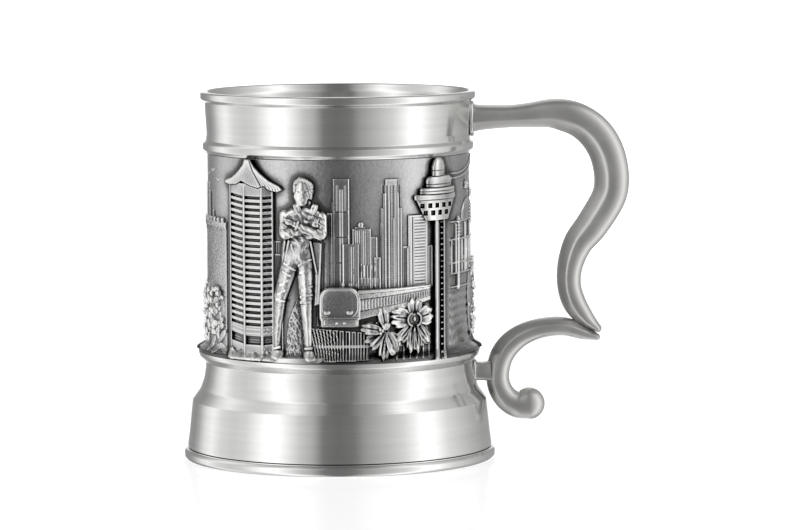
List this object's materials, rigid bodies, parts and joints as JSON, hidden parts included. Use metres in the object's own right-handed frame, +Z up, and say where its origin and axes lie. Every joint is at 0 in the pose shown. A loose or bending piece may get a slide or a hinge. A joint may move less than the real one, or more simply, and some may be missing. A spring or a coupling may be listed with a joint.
{
  "type": "footed tankard",
  "caption": "Footed metal drinking tankard with a turned rim and skirt, a relief-cast band round the cup and a double-scroll handle.",
  "frame": {"origin": "centre of the base plate's underside, on the cup's axis, where the tankard stands", "axes": "+Z up along the cup's axis, +X from the cup's axis towards the handle"},
  "size_m": [0.1541, 0.1078, 0.127],
  "materials": {
    "satin_pewter": "turned and satin-brushed round the axis, bright",
    "antique_pewter": "as-cast relief, darkened in the hollows and rubbed bright on the high parts",
    "cast_pewter": "fine bead-blasted matte",
    "solder": "smooth, bright"
  },
  "bodies": {
    "root": {"rim_collar": "satin_pewter", "front_relief_panel": "antique_pewter", "back_relief_panel": "antique_pewter", "foot_skirt": "satin_pewter", "foot_ring": "satin_pewter", "base_plate": "satin_pewter", "cup_floor": "satin_pewter", "pagoda_tower": "antique_pewter", "standing_figure": "antique_pewter", "control_tower": "antique_pewter", "train_car": "antique_pewter", "upper_bloom": "antique_pewter", "lower_bloom": "antique_pewter", "left_leaf_clump": "antique_pewter", "right_leaf_clump": "antique_pewter", "left_palm": "antique_pewter", "right_palm": "antique_pewter", "left_boat": "antique_pewter", "right_boat": "antique_pewter", "handle_upper_scroll": "cast_pewter", "handle_lower_scroll": "cast_pewter", "handle_strut": "cast_pewter", "root_solder_bead": "solder", "strut_solder_bead": "solder"}
  },
  "joints": []
}
